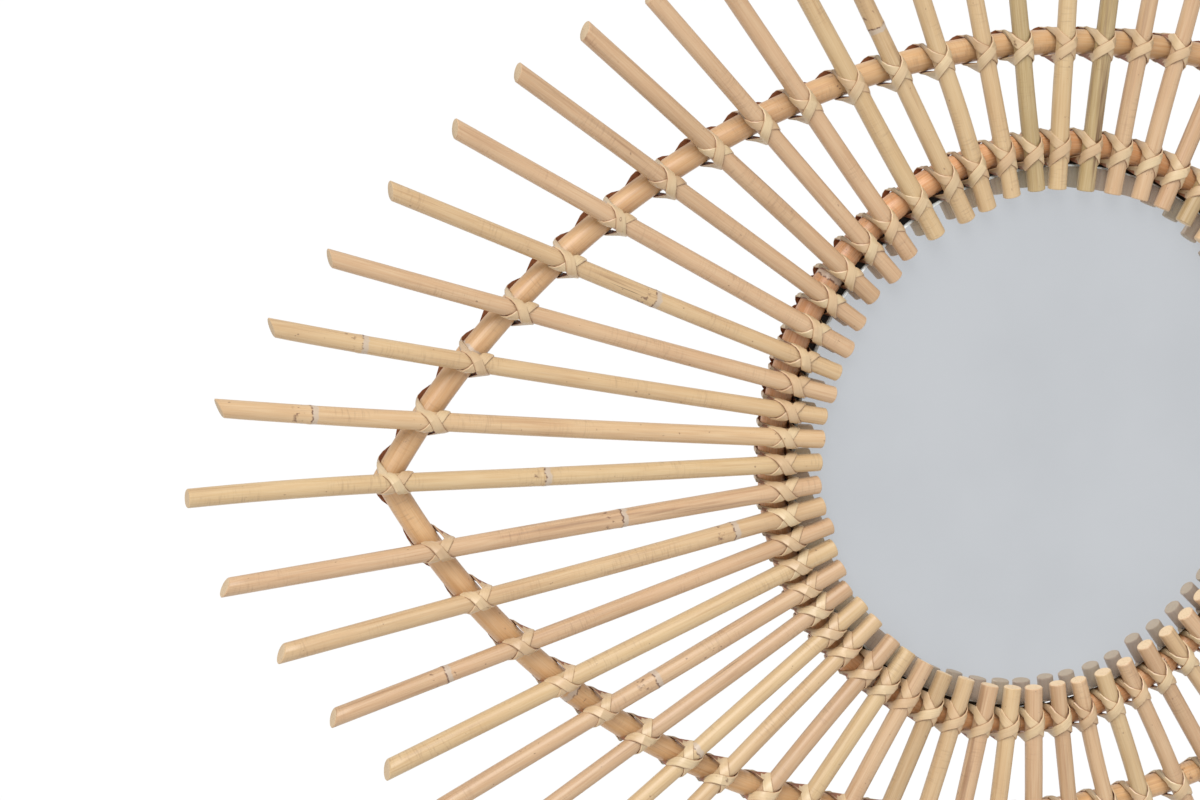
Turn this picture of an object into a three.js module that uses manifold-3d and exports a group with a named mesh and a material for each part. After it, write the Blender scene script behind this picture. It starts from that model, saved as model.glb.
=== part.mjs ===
// Eye-shaped rattan wall mirror. A round glass sits inside a bent rattan hoop, and straight rattan
// sticks fan out over the hoop to a pointed frame of two bowed poles. Flat binding cane ties each
// stick to the hoop and to the frame with a crossed lashing.
// Millimetres, +Z up, the glass faces -Y, and the wall is the plane y = 0.
import * as THREE from 'three';
import Module from 'manifold-3d';
import { mergeVertices } from 'three/addons/utils/BufferGeometryUtils.js';

// Driving dimensions: the fan in front view
const ringRadius = 131;      // centre line of the inner hoop
const bowArcRadius = 353;    // centre line of each bowed pole
const bowRise = 175.7;       // highest point of that centre line above the middle
const overhangAbove = 72.5;  // sticks past the upper bowed pole
const overhangBelow = 70;    // and past the lower one
const tipOverhang = 6;       // further past both at the tips
const tipFocus = 8;          // how closely the longer sticks keep to the tips
const stickReach = 19;       // sticks inside the hoop's centre line
const gapsAbove = 30;        // spaces between sticks from tip to tip, over the top
const gapsBelow = 32;        // and under the bottom

// Driving dimensions: poles and cane
const stickPole = 8;
const ringPole = 12;
const bowPole = 11;
const caneWidth = 4;
const caneThickness = 1;

// Driving dimensions: one crossed lashing
const shoulderTurn = 68;     // the bend at the stick's side, in degrees from its top
const shoulderShare = 0.6;   // how far along the arm that bend lies
const middleAlong = 2.6;     // half the raised middle where the straps cross
const middleAcross = 2.2;
const ridgeLift = 1.35;      // the rounded outside above the band's edges
const postShrink = 0.45;     // the middle's foot, which stands in the stick's top
const postSink = 0.7;
const linkHalf = 1;          // half width of the cane behind the hoop
const linkTurn = 0.72;       // where it turns behind the hoop, as a share of its distance

// Driving dimensions: glass, board and hanger
const glassThickness = 3;
const glassEdgeGap = 2.5;    // from the hoop's inner side to the glass
const glassStickGap = 1.2;   // from the sticks' underside to the glass
const boardThickness = 4;    // the board's rim behind the hoop
const boardInset = 3;        // the rim stays this far inside the hoop's centre line
const plugInset = 1;         // the raised middle is this much smaller than the glass
const caneRoom = 2.8;        // space for the cane between the board and the hoop
const hangerWidth = 46;
const hangerHeight = 10;
const hangerSheet = 1.2;
const hangerStandoff = 1.4;  // the toothed middle stands this far off the tabs
const hangerTab = 9;
const hangerSlope = 3;
const hangerTeeth = 7;
const toothDepth = 2.2;
const toothShare = 0.83;     // of the pitch
const hangBelowTop = 36;     // the hanging point below the hoop's highest point

// Hand-made unevenness of the fan, in degrees and millimetres
const hoopTurn = 0.2;        // all crossings of the hoop, against even spacing
const hoopWaves = [[-1.5, 0.4], [-0.25, -3.1], [-0.4, -0.2], [0, -0.65]];
const frameTurn = 0.45;      // all crossings of the bowed poles
const frameWaves = [[-0.65, 0.4], [-0.65, -2.4], [-0.4, -0.05]];
const strays = {             // sticks out of line, at the hoop and at the bowed poles
  0: [-0.75, 0], 1: [-0.75, -0.3], 2: [-0.6, 0], 3: [-0.3, 0.3], 4: [0.15, 0.4], 5: [0.2, 0.3],
  9: [0.7, 0.3], 11: [-0.9, 0], 12: [-0.4, -0.2], 13: [-0.4, -0.5], 15: [0.7, -0.3], 16: [0.3, 0],
  17: [0.2, 0.5], 18: [0, 0.8], 27: [0.25, 0.3], 28: [0.55, 0.3], 29: [0.65, 0.3], 30: [0.6, 0],
  31: [0.3, 0.3], 32: [-0.2, 0], 33: [-0.6, -0.3], 34: [-0.9, -0.4], 35: [-1, -0.5], 36: [-0.9, -0.5],
  37: [-0.6, -0.3], 38: [-0.2, 0], 44: [-0.2, 0.3], 49: [-0.3, 0], 50: [-0.3, 0], 51: [-0.3, 0],
  53: [0.5, 0], 54: [-0.3, -0.5], 57: [0.35, 0], 58: [0.35, 0.4], 59: [0.2, 0.3], 60: [-0.05, 0],
  61: [-0.4, 0],
};
const angleWobble = 0.12;
const lengthWobble = 1.6;

// Clearances and facets
const touchGap = 0.3;
const wrapGap = 0.9;         // cane feet outside a hoop's surface
const bendGap = 0.75;        // cane outside a stick's surface
const poleSides = 8;
const ringSteps = 32;
const bowSteps = 20;
const glassSides = 32;

const degree = Math.PI / 180;
const stickRadius = stickPole / 2;
const caneWrap = stickRadius + bendGap;
const middleLift = stickRadius + caneThickness;
const boardBack = hangerStandoff + hangerSheet + touchGap;
const ringDepth = boardBack + boardThickness + caneRoom + ringPole / 2;
const stickDepth = ringDepth + ringPole / 2 + touchGap + stickRadius;
const bowDepth = stickDepth - stickRadius - touchGap - bowPole / 2;
const glassFront = stickDepth - stickRadius - glassStickGap;
const glassRadius = ringRadius - ringPole / 2 - glassEdgeGap;
const arcDrop = bowArcRadius - bowRise;
const tipReach = Math.sqrt(bowArcRadius ** 2 - arcDrop ** 2);
const stickCount = gapsAbove + gapsBelow;
const hangAboveMiddle = ringRadius - hangBelowTop;

const wasm = await Module();
wasm.setup();

function finish(name, geometry, material) {
  const mesh = new THREE.Mesh(geometry, material);
  mesh.name = name;
  return mesh;
}

function toSolid(geometry) {
  const bare = geometry.clone();
  bare.deleteAttribute('normal');
  bare.deleteAttribute('uv');
  const merged = mergeVertices(bare, 1e-4);
  const triVerts = new Uint32Array(merged.index.array);
  return new wasm.Manifold(new wasm.Mesh({
    numProp: 3, vertProperties: merged.attributes.position.array, triVerts }));
}

// The solid's triangles, largest first
function toGeometry(solid) {
  const mesh = solid.getMesh();
  const corner = (index) => new THREE.Vector3().fromArray(mesh.vertProperties, index * mesh.numProp);
  const triangles = [];
  for (let i = 0; i < mesh.triVerts.length; i += 3) {
    const indices = Array.from(mesh.triVerts.subarray(i, i + 3));
    triangles.push({ indices, area: new THREE.Triangle(...indices.map(corner)).getArea() });
  }
  triangles.sort((a, b) => b.area - a.area);
  const geometry = new THREE.BufferGeometry();
  geometry.setAttribute('position', new THREE.BufferAttribute(mesh.vertProperties, mesh.numProp));
  geometry.setIndex(triangles.flatMap((triangle) => triangle.indices));
  return geometry;
}

// A repeatable value from -1 to 1 for each stick and each use
function wobble(stick, use) {
  const value = Math.sin(stick * 12.9898 + use * 78.233) * 43758.5453;
  return 2 * (value - Math.floor(value)) - 1;
}

// Front-view vectors: x to the right, z up
const front = (x, z) => new THREE.Vector2(x, z);
const toSpace = (point, depth) => new THREE.Vector3(point.x, -depth, point.y);

// A stick's angle where it crosses the hoop or the bowed poles: even spacing and slow waves round it
function crossingAngle(index, turn, waves, stray) {
  const above = index <= gapsAbove;
  const even = above ? 180 - 180 * index / gapsAbove : 180 + 180 * (stickCount - index) / gapsBelow;
  const wave = ([cosine, sine], i) =>
    cosine * Math.cos((i + 1) * even * degree) + sine * Math.sin((i + 1) * even * degree);
  return even + turn + waves.map(wave).reduce((a, b) => a + b) + stray;
}

// The distance from the middle to one of the eye's arcs, whose radius is given, in a direction
function eyeReach(direction, arcRadius) {
  const fall = arcDrop * Math.abs(direction.y);
  return Math.sqrt(fall ** 2 - arcDrop ** 2 + arcRadius ** 2) - fall;
}

// The outward direction square to the eye's outline, for a point above or below the middle
function eyeNormal(point, side) {
  return front(point.x, point.y + side * arcDrop).normalize();
}

// Where each stick lies: its two crossings, its ends and its direction
function layStick(index) {
  const [hoopStray, frameStray] = strays[index]
    ?? [angleWobble * wobble(index, 2), angleWobble * wobble(index, 1)];
  const onTip = index === 0 || index === gapsAbove;
  const tipAngle = index === 0 ? 180 : 0;
  const outerAngle = (onTip ? tipAngle : crossingAngle(index, frameTurn, frameWaves, frameStray)) * degree;
  const innerAngle = crossingAngle(index, hoopTurn, hoopWaves, hoopStray) * degree;
  const outward = front(Math.cos(outerAngle), Math.sin(outerAngle));
  const bowPoint = outward.clone().multiplyScalar(eyeReach(outward, bowArcRadius));
  const ringPoint = front(Math.cos(innerAngle), Math.sin(innerAngle)).multiplyScalar(ringRadius);
  const along = bowPoint.clone().sub(ringPoint).normalize();
  const side = bowPoint.y >= 0 ? 1 : -1;
  const endNormal = onTip ? outward.clone() : eyeNormal(bowPoint, side);
  const overhang = (side > 0 ? overhangAbove : overhangBelow) + tipOverhang * outward.x ** tipFocus;
  const bowToEnd = onTip
    ? eyeReach(outward, bowArcRadius + overhang) - tipReach
    : overhang / along.dot(endNormal);
  return {
    along, ringPoint, bowPoint, endNormal, onTip, side,
    across: front(-along.y, along.x),
    innerEnd: -stickReach - lengthWobble * wobble(index, 3),
    outerEnd: bowPoint.distanceTo(ringPoint) + bowToEnd + lengthWobble * wobble(index, 4),
  };
}

// Turns a stick's own frame (along, across, towards the viewer) into the object's frame
function stickFrame(stick, origin, depth) {
  const along = toSpace(stick.along, 0);
  const across = toSpace(stick.across, 0);
  const matrix = new THREE.Matrix4().makeBasis(along, across, new THREE.Vector3(0, -1, 0));
  return matrix.setPosition(toSpace(origin, depth));
}

// A straight pole whose outer end is cut along the eye's outline
function poleGeometry(stick) {
  const section = new THREE.Shape();
  for (let i = 0; i < poleSides; i += 1) {
    const turn = (i + 0.5) * 2 * Math.PI / poleSides;
    const point = front(stickRadius * Math.cos(turn), stickRadius * Math.sin(turn));
    if (i === 0) section.moveTo(point.x, point.y);
    else section.lineTo(point.x, point.y);
  }
  const length = stick.outerEnd - stick.innerEnd;
  const geometry = new THREE.ExtrudeGeometry(section, { depth: length, bevelEnabled: false });
  const toStick = new THREE.Matrix4().makeBasis(
    new THREE.Vector3(0, 1, 0), new THREE.Vector3(0, 0, 1), new THREE.Vector3(1, 0, 0));
  geometry.applyMatrix4(toStick);
  geometry.translate(stick.innerEnd, 0, 0);
  const slant = stick.endNormal.dot(stick.across) / stick.endNormal.dot(stick.along);
  const positions = geometry.attributes.position;
  for (let i = 0; i < positions.count; i += 1) {
    if (positions.getX(i) > 0) positions.setX(i, positions.getX(i) - slant * positions.getY(i));
  }
  return geometry.applyMatrix4(stickFrame(stick, stick.ringPoint, stickDepth));
}

// Cane is a three-sided band: two edges on the inside and a ridge outside, as split cane has.
// A section is [right edge, left edge, ridge] when looking along the band.
// Where it bends over a stick, its bulging side folds from the ridge to the next section's edge.
function bandFaces(faces, from, to, bulge = '') {
  if (bulge === 'right') {
    faces.push([from[0], from[1], to[0]], [from[1], to[1], to[0]]);
    faces.push([from[0], to[0], from[2]], [to[0], to[2], from[2]]);
  } else {
    faces.push([from[0], from[1], to[1]], [from[0], to[1], to[0]]);
    faces.push([from[0], to[0], to[2]], [from[0], to[2], from[2]]);
  }
  if (bulge === 'left') faces.push([from[1], from[2], to[1]], [from[2], to[2], to[1]]);
  else faces.push([from[1], from[2], to[2]], [from[1], to[2], to[1]]);
}

function bandPoint(faces, from, tip) {
  faces.push([from[0], from[1], tip], [from[0], tip, from[2]], [from[1], from[2], tip]);
}

// The crossed lashing over one stick: four arms from a raised middle, down to the hoop's two sides
function lashing(stick, origin, hoopRadius, normalAt) {
  const frame = stickFrame(stick, origin, stickDepth);
  const place = (along, across, height) => new THREE.Vector3(along, across, height).applyMatrix4(frame);
  const footHeight = -stickRadius - touchGap - hoopRadius;
  const onAxes = (along, across, height) => ({
    along: { 1: place(along, 0, height), '-1': place(-along, 0, height) },
    across: { 1: place(0, across, height), '-1': place(0, -across, height) },
  });
  const middle = onAxes(middleAlong, middleAcross, middleLift);
  const post = onAxes(middleAlong * postShrink, middleAcross * postShrink, stickRadius - postSink);
  const peak = place(0, 0, middleLift + ridgeLift);
  const footAt = (out, turn) => {
    const normal = normalAt(turn);
    const reach = out * (hoopRadius + wrapGap) - turn * caneWrap * normal.dot(stick.across);
    return reach / normal.dot(stick.along);
  };
  const onWrap = (along, arc, radius, turn) =>
    place(along, turn * radius * Math.sin(arc / caneWrap), radius * Math.cos(arc / caneWrap));
  const arms = {};
  for (const out of [1, -1]) {
    for (const turn of [1, -1]) {
      const foot = footAt(out, turn);
      const shoulder = foot * shoulderShare;
      const arc = caneWrap * shoulderTurn * degree;
      const run = front(shoulder, arc).normalize();
      const shift = out * caneWidth / 2 * Math.abs(run.y);
      const spread = caneWidth / 2 * Math.abs(run.x);
      const near = onWrap(shoulder + shift, arc - spread, caneWrap, turn);
      const far = onWrap(shoulder - shift, arc + spread, caneWrap, turn);
      const ridge = onWrap(shoulder, arc, caneWrap + ridgeLift, turn);
      const sides = [[middle.along[out], near], [middle.across[turn], far]];
      if (out * turn < 0) sides.reverse();
      arms[`${out},${turn}`] = {
        bulge: out * turn > 0 ? 'right' : 'left',
        root: [sides[0][0], sides[1][0], peak],
        shoulder: [sides[0][1], sides[1][1], ridge],
        foot: place(foot, turn * caneWrap, footHeight),
      };
    }
  }
  const faces = [];
  Object.values(arms).forEach((arm) => bandFaces(faces, arm.root, arm.shoulder, arm.bulge));
  const around = ({ along, across }) => [along[1], across[1], along[-1], across[-1]];
  const corners = around(middle);
  const postCorner = around(post);
  for (let i = 0; i < corners.length; i += 1) {
    const next = (i + 1) % corners.length;
    faces.push([corners[next], corners[i], postCorner[i]], [corners[next], postCorner[i], postCorner[next]]);
  }
  faces.push([postCorner[0], postCorner[2], postCorner[1]], [postCorner[0], postCorner[3], postCorner[2]]);
  return { faces, arms };
}

// Each arm ends in a point at the hoop's side, apart from the arms that a cane behind the hoop joins
function endArms(ties, joined) {
  Object.entries(ties.arms).forEach(([key, arm]) => {
    if (key !== joined) bandPoint(ties.faces, arm.shoulder, arm.foot);
  });
}

// The cane that passes behind the hoop from one stick's outer side to the next stick's inner side
function joinBehind(faces, fromArm, toArm, fromStick, toStick) {
  const middle = fromStick.ringPoint.clone().add(toStick.ringPoint).normalize();
  const tangent = front(-middle.y, middle.x);
  const corners = [[1, 0], [linkTurn, 1], [-linkTurn, 1], [-1, 0]];
  const inner = ringPole / 2 + wrapGap;
  const sections = corners.map(([out, back]) => {
    const at = (radius, offset) => toSpace(
      middle.clone().multiplyScalar(ringRadius + out * radius).addScaledVector(tangent, offset),
      ringDepth - back * radius);
    return [at(inner, -linkHalf), at(inner, linkHalf), at(inner + caneThickness, 0)];
  });
  const swap = ([right, left, ridge]) => [left, right, ridge];
  const path = [fromArm.shoulder, ...sections, swap(toArm.shoulder)];
  for (let i = 1; i < path.length; i += 1) bandFaces(faces, path[i - 1], path[i]);
}

function facesGeometry(faces) {
  const geometry = new THREE.BufferGeometry();
  geometry.setFromPoints(faces.flat());
  return geometry;
}

const rattan = () => new THREE.MeshStandardMaterial({ color: '#d8b384', roughness: 0.5, metalness: 0 });
const hoopRattan = () => new THREE.MeshStandardMaterial({ color: '#d2a271', roughness: 0.5, metalness: 0 });

// Two neighbouring sticks, their four lashings and the cane that runs between them are one body
function stickPair(number) {
  const sticks = [layStick(2 * number), layStick(2 * number + 1)];
  const ringNormal = (stick) => () => stick.ringPoint.clone().normalize();
  const bowNormal = (stick) => (turn) => {
    const side = stick.onTip ? turn * Math.sign(stick.across.y) : stick.side;
    return eyeNormal(stick.bowPoint, side);
  };
  const ringTies = sticks.map((stick) => lashing(stick, stick.ringPoint, ringPole / 2, ringNormal(stick)));
  const bowTies = sticks.map((stick) => lashing(stick, stick.bowPoint, bowPole / 2, bowNormal(stick)));
  const links = ['1,-1', '-1,1'];
  ringTies.forEach((ties, i) => endArms(ties, links[i]));
  bowTies.forEach((ties) => endArms(ties, ''));
  const ringFaces = [...ringTies[0].faces, ...ringTies[1].faces];
  joinBehind(ringFaces, ringTies[0].arms[links[0]], ringTies[1].arms[links[1]], sticks[0], sticks[1]);
  const tieFaces = [ringFaces, ...bowTies.map((ties) => ties.faces)];
  const parts = tieFaces.map((faces) => toSolid(facesGeometry(faces)));
  const poles = sticks.map((stick) => toSolid(poleGeometry(stick)));
  const body = poles.concat(parts).reduce((a, b) => a.add(b));
  return finish(`stick_pair_${String(number + 1).padStart(2, '0')}`, toGeometry(body), rattan());
}

// The radius at which straight steps lie as far inside a circle as outside it
function steppedRadius(radius, halfStep) {
  return radius * (1 + 1 / Math.cos(halfStep)) / 2;
}

function innerHoop() {
  const radius = steppedRadius(ringRadius, Math.PI / ringSteps);
  const torus = new THREE.TorusGeometry(radius, ringPole / 2, poleSides, ringSteps);
  torus.rotateX(Math.PI / 2);
  torus.translate(0, -ringDepth, 0);
  return finish('inner_hoop', torus, hoopRattan());
}

class BowLine extends THREE.Curve {
  constructor(side) {
    super();
    this.side = side;
    this.halfTurn = Math.asin(tipReach / bowArcRadius) + bowPole / bowArcRadius;
    this.radius = steppedRadius(bowArcRadius, this.halfTurn / bowSteps);
  }

  getPoint(share, target = new THREE.Vector3()) {
    const turn = (2 * share - 1) * this.halfTurn;
    const height = this.side * (this.radius * Math.cos(turn) - arcDrop);
    return target.set(this.radius * Math.sin(turn), -bowDepth, height);
  }
}

// A bowed pole, cut off flat on the middle line where it meets the other one at the tips
function bow(name, side) {
  const section = new THREE.Shape();
  section.absarc(0, 0, bowPole / 2, 0, 2 * Math.PI);
  const pole = new THREE.ExtrudeGeometry(section, {
    steps: bowSteps, curveSegments: poleSides / 2, extrudePath: new BowLine(side) });
  const reach = 2 * bowArcRadius;
  const half = new THREE.BoxGeometry(reach, reach, reach);
  half.translate(0, 0, side * (reach / 2 + touchGap / 2));
  return finish(name, toGeometry(toSolid(pole).intersect(toSolid(half))), hoopRattan());
}

function glass() {
  const disc = new THREE.CylinderGeometry(glassRadius, glassRadius, glassThickness, glassSides);
  disc.translate(0, glassThickness / 2 - glassFront, 0);
  const material = new THREE.MeshStandardMaterial({ color: '#cfd4dc', roughness: 0.05, metalness: 1 });
  return finish('mirror_glass', disc, material);
}

// One board: a rim behind the hoop and a raised middle that carries the glass
function backingBoard() {
  const rim = ringRadius - boardInset;
  const plug = glassRadius - plugInset;
  const shoulder = boardBack + boardThickness;
  const top = glassFront - glassThickness - touchGap;
  const outline = [
    [0, top], [plug, top], [plug, shoulder], [rim, shoulder], [rim, boardBack], [0, boardBack],
  ];
  const lathe = new THREE.LatheGeometry(outline.map(([r, depth]) => front(r, -depth)), glassSides);
  const material = new THREE.MeshStandardMaterial({ color: '#2e2620', roughness: 0.8, metalness: 0 });
  return finish('backing_board', toGeometry(toSolid(lathe)), material);
}

// A toothed steel strip: two tabs on the board and a raised middle that hooks over a nail
function hanger() {
  const half = hangerWidth / 2;
  const bend = half - hangerTab;
  const flat = bend - hangerSlope;
  const low = -hangerStandoff - hangerSheet;
  const outline = [
    [-half, low], [-bend, low], [-flat, -hangerSheet], [flat, -hangerSheet], [bend, low], [half, low],
    [half, low + hangerSheet], [bend, low + hangerSheet], [flat, 0], [-flat, 0],
    [-bend, low + hangerSheet], [-half, low + hangerSheet],
  ];
  const strip = new THREE.ExtrudeGeometry(
    new THREE.Shape(outline.map(([x, y]) => front(x, y))), { depth: hangerHeight, bevelEnabled: false });
  strip.translate(0, 0, hangAboveMiddle - hangerHeight / 2);
  let solid = toSolid(strip);
  const pitch = 2 * flat / (hangerTeeth + 1);
  const mouth = toothShare * pitch / 2;
  const notch = new THREE.Shape([front(-mouth, 0), front(mouth, 0), front(0, toothDepth)]);
  const cutDepth = 3 * hangerSheet;
  for (let i = 1; i <= hangerTeeth; i += 1) {
    const cut = new THREE.ExtrudeGeometry(notch, { depth: cutDepth, bevelEnabled: false });
    cut.rotateX(Math.PI / 2);
    cut.translate(i * pitch - flat, hangerSheet, hangAboveMiddle - hangerHeight / 2 - touchGap / 2);
    solid = solid.subtract(toSolid(cut));
  }
  const material = new THREE.MeshStandardMaterial({ color: '#b9bbb8', roughness: 0.35, metalness: 1 });
  return finish('sawtooth_hanger', toGeometry(solid), material);
}

// The origin is the hanging point, on the hanger's face against the wall
const mirror = new THREE.Group();
mirror.position.set(0, 0, -hangAboveMiddle);
mirror.add(innerHoop(), bow('upper_bow', 1), bow('lower_bow', -1), glass(), backingBoard(), hanger());
for (let number = 0; number < stickCount / 2; number += 1) mirror.add(stickPair(number));

export default mirror;
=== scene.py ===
# Eye-shaped rattan wall mirror: a round glass in a bent hoop, sticks fanned over a pointed frame of
# two bowed poles, and flat cane tying every stick twice.
import math
import random

import bmesh
import bpy
from mathutils import Matrix, Vector


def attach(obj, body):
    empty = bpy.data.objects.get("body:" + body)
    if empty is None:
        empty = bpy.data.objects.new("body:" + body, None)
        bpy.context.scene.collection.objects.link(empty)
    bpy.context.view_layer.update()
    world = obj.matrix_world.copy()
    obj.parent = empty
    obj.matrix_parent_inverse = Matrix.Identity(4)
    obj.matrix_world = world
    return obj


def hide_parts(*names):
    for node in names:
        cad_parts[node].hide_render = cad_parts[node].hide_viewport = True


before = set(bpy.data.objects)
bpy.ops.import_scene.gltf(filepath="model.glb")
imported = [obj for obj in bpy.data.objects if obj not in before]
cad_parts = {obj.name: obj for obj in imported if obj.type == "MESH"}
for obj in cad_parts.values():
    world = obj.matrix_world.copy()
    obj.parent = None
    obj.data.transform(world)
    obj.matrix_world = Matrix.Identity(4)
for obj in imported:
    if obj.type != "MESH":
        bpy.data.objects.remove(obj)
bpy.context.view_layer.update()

mm = 0.001
towardsViewer = Vector((0, -1, 0))

# The fan in front view, the same values as the part's source, in millimetres and degrees
fan = {
    "ringRadius": 131,
    "bowArcRadius": 353,
    "bowRise": 175.7,
    "overhangAbove": 72.5,  # sticks past the bowed poles
    "overhangBelow": 70,
    "tipOverhang": 6,       # added towards the tips
    "tipFocus": 8,
    "stickReach": 19,       # sticks inwards past the hoop
    "gapsAbove": 30,
    "gapsBelow": 32,
    "hoopTurn": 0.2,
    "hoopWaves": ((-1.5, 0.4), (-0.25, -3.1), (-0.4, -0.2), (0, -0.65)),
    "frameTurn": 0.45,
    "frameWaves": ((-0.65, 0.4), (-0.65, -2.4), (-0.4, -0.05)),
    "strays": {             # sticks out of line, at the hoop and at the bowed poles
        0: (-0.75, 0), 1: (-0.75, -0.3), 2: (-0.6, 0), 3: (-0.3, 0.3), 4: (0.15, 0.4), 5: (0.2, 0.3),
        9: (0.7, 0.3), 11: (-0.9, 0), 12: (-0.4, -0.2), 13: (-0.4, -0.5), 15: (0.7, -0.3), 16: (0.3, 0),
        17: (0.2, 0.5), 18: (0, 0.8), 27: (0.25, 0.3), 28: (0.55, 0.3), 29: (0.65, 0.3), 30: (0.6, 0),
        31: (0.3, 0.3), 32: (-0.2, 0), 33: (-0.6, -0.3), 34: (-0.9, -0.4), 35: (-1, -0.5), 36: (-0.9, -0.5),
        37: (-0.6, -0.3), 38: (-0.2, 0), 44: (-0.2, 0.3), 49: (-0.3, 0), 50: (-0.3, 0), 51: (-0.3, 0),
        53: (0.5, 0), 54: (-0.3, -0.5), 57: (0.35, 0), 58: (0.35, 0.4), 59: (0.2, 0.3), 60: (-0.05, 0),
        61: (-0.4, 0),
    },
    "angleWobble": 0.12,
    "lengthWobble": 1.6,
    "middleDrop": 95,       # the glass middle below the hanging point
    "stickDepth": 26.0,     # stick centre lines in front of the wall
    "stickPole": 8,
}
arcDrop = fan["bowArcRadius"] - fan["bowRise"]
tipReach = math.sqrt(fan["bowArcRadius"] ** 2 - arcDrop ** 2)
stickCount = fan["gapsAbove"] + fan["gapsBelow"]

# The three bent poles that the sticks are tied to
poles = {
    "ring": {"centre": Vector((0, 0)), "radius": fan["ringRadius"], "half": 6, "depth": 15.7},
    "upper": {"centre": Vector((0, -arcDrop)), "radius": fan["bowArcRadius"], "half": 5.5, "depth": 16.2},
    "lower": {"centre": Vector((0, arcDrop)), "radius": fan["bowArcRadius"], "half": 5.5, "depth": 16.2},
}


def toFrame(point, depth):
    # a front-view point in millimetres, at a distance from the wall, in the row frame
    return Vector((point.x, -depth, point.y - fan["middleDrop"])) * mm


def direction(vector):
    return Vector((vector.x, 0, vector.y))


def unit(angle):
    return Vector((math.cos(angle), math.sin(angle)))


def wobble(stick, use):
    # a repeatable uneven value between -1 and 1, as in the part's source
    value = math.sin(stick * 12.9898 + use * 78.233) * 43758.5453
    return 2 * (value - math.floor(value)) - 1


def eyeReach(outward, arcRadius):
    fall = arcDrop * abs(outward.y)
    return math.sqrt(fall ** 2 - arcDrop ** 2 + arcRadius ** 2) - fall


def crossingAngle(index, turn, waves, stray):
    # where a stick crosses the hoop or the bowed poles: even spacing and slow waves round it
    if index <= fan["gapsAbove"]:
        even = 180 - 180 * index / fan["gapsAbove"]
    else:
        even = 180 + 180 * (stickCount - index) / fan["gapsBelow"]
    place = math.radians(even)
    wave = sum(cosine * math.cos(order * place) + sine * math.sin(order * place)
               for order, (cosine, sine) in enumerate(waves, 1))
    return math.radians(even + turn + wave + stray)


def layStick(index):
    unevenness = (fan["angleWobble"] * wobble(index, 2), fan["angleWobble"] * wobble(index, 1))
    hoopStray, frameStray = fan["strays"].get(index, unevenness)
    onTip = index in (0, fan["gapsAbove"])
    if onTip:
        outward = Vector((-1, 0)) if index == 0 else Vector((1, 0))
    else:
        outward = unit(crossingAngle(index, fan["frameTurn"], fan["frameWaves"], frameStray))
    bowPoint = outward * eyeReach(outward, fan["bowArcRadius"])
    ringOutward = unit(crossingAngle(index, fan["hoopTurn"], fan["hoopWaves"], hoopStray))
    ringPoint = ringOutward * fan["ringRadius"]
    along = (bowPoint - ringPoint).normalized()
    side = 1 if bowPoint.y >= 0 else -1
    overhang = fan["overhangAbove"] if side > 0 else fan["overhangBelow"]
    overhang += fan["tipOverhang"] * outward.x ** fan["tipFocus"]
    if onTip:
        endNormal = outward.copy()
        pastBow = eyeReach(outward, fan["bowArcRadius"] + overhang) - tipReach
    else:
        endNormal = Vector((bowPoint.x, bowPoint.y + side * arcDrop)).normalized()
        pastBow = overhang / along.dot(endNormal)
    return {
        "index": index, "along": along, "across": Vector((-along.y, along.x)),
        "ringPoint": ringPoint, "bowPoint": bowPoint, "endNormal": endNormal,
        "span": (bowPoint - ringPoint).length,
        "innerEnd": -fan["stickReach"] - fan["lengthWobble"] * wobble(index, 3),
        "outerEnd": (bowPoint - ringPoint).length + pastBow + fan["lengthWobble"] * wobble(index, 4),
    }


sticks = [layStick(index) for index in range(stickCount)]


# Making meshes

def newMesh():
    # grain is the place across and along the strand, tone its own look, scar the way to a leaf scar
    bm = bmesh.new()
    bm.verts.layers.float_vector.new("grain")
    bm.verts.layers.float_vector.new("tone")
    bm.loops.layers.float.new("scar")
    return bm


def roundOutline(sides):
    return [Vector((math.cos(2 * math.pi * i / sides), math.sin(2 * math.pi * i / sides), 0))
            for i in range(sides)]


def sweep(bm, outline, stations, tone, marks=(), grainShift=0.0, endMaterial=0):
    # extrudes an outline through (matrix, distance) stations; marks are the distances of leaf scars,
    # and tone is one vector or a function of the distance
    grain = bm.verts.layers.float_vector["grain"]
    toneLayer = bm.verts.layers.float_vector["tone"]
    scar = bm.loops.layers.float["scar"]

    def note(verts, place, distance):
        back = place.inverted()
        scale = place.to_scale()
        for vert in verts:
            local = back @ vert.co
            vert[grain] = Vector((local.x * scale.x, local.y * scale.y, distance + grainShift))
            vert[toneLayer] = tone(distance) if callable(tone) else tone

    place, distance = stations[0]
    ring = [bm.verts.new(place @ point) for point in outline]
    edges = [bm.edges.new((ring[i], ring[(i + 1) % len(ring)])) for i in range(len(ring))]
    note(ring, place, distance)
    ends = [edges]
    sides = []
    for nextPlace, nextDistance in stations[1:]:
        made = bmesh.ops.extrude_edge_only(bm, edges=edges)["geom"]
        verts = [item for item in made if isinstance(item, bmesh.types.BMVert)]
        moved = set(verts)
        edges = [item for item in made if isinstance(item, bmesh.types.BMEdge)
                 and item.verts[0] in moved and item.verts[1] in moved]
        bmesh.ops.transform(bm, matrix=nextPlace @ place.inverted(), verts=verts)
        sides += [item for item in made if isinstance(item, bmesh.types.BMFace)]
        place = nextPlace
        note(verts, place, nextDistance)
    ends.append(edges)
    caps = []
    for loop in ends:
        caps += bmesh.ops.edgeloop_fill(bm, edges=loop, mat_nr=endMaterial)["faces"]
    for face in sides:
        face.smooth = True
    for face in sides + caps:
        middle = sum(loop.vert[grain].z for loop in face.loops) / len(face.loops) - grainShift
        nearest = min(marks, key=lambda mark: abs(mark - middle), default=None)
        for loop in face.loops:
            gone = loop.vert[grain].z - grainShift
            loop[scar] = 1.0 if nearest is None else gone - nearest


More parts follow.
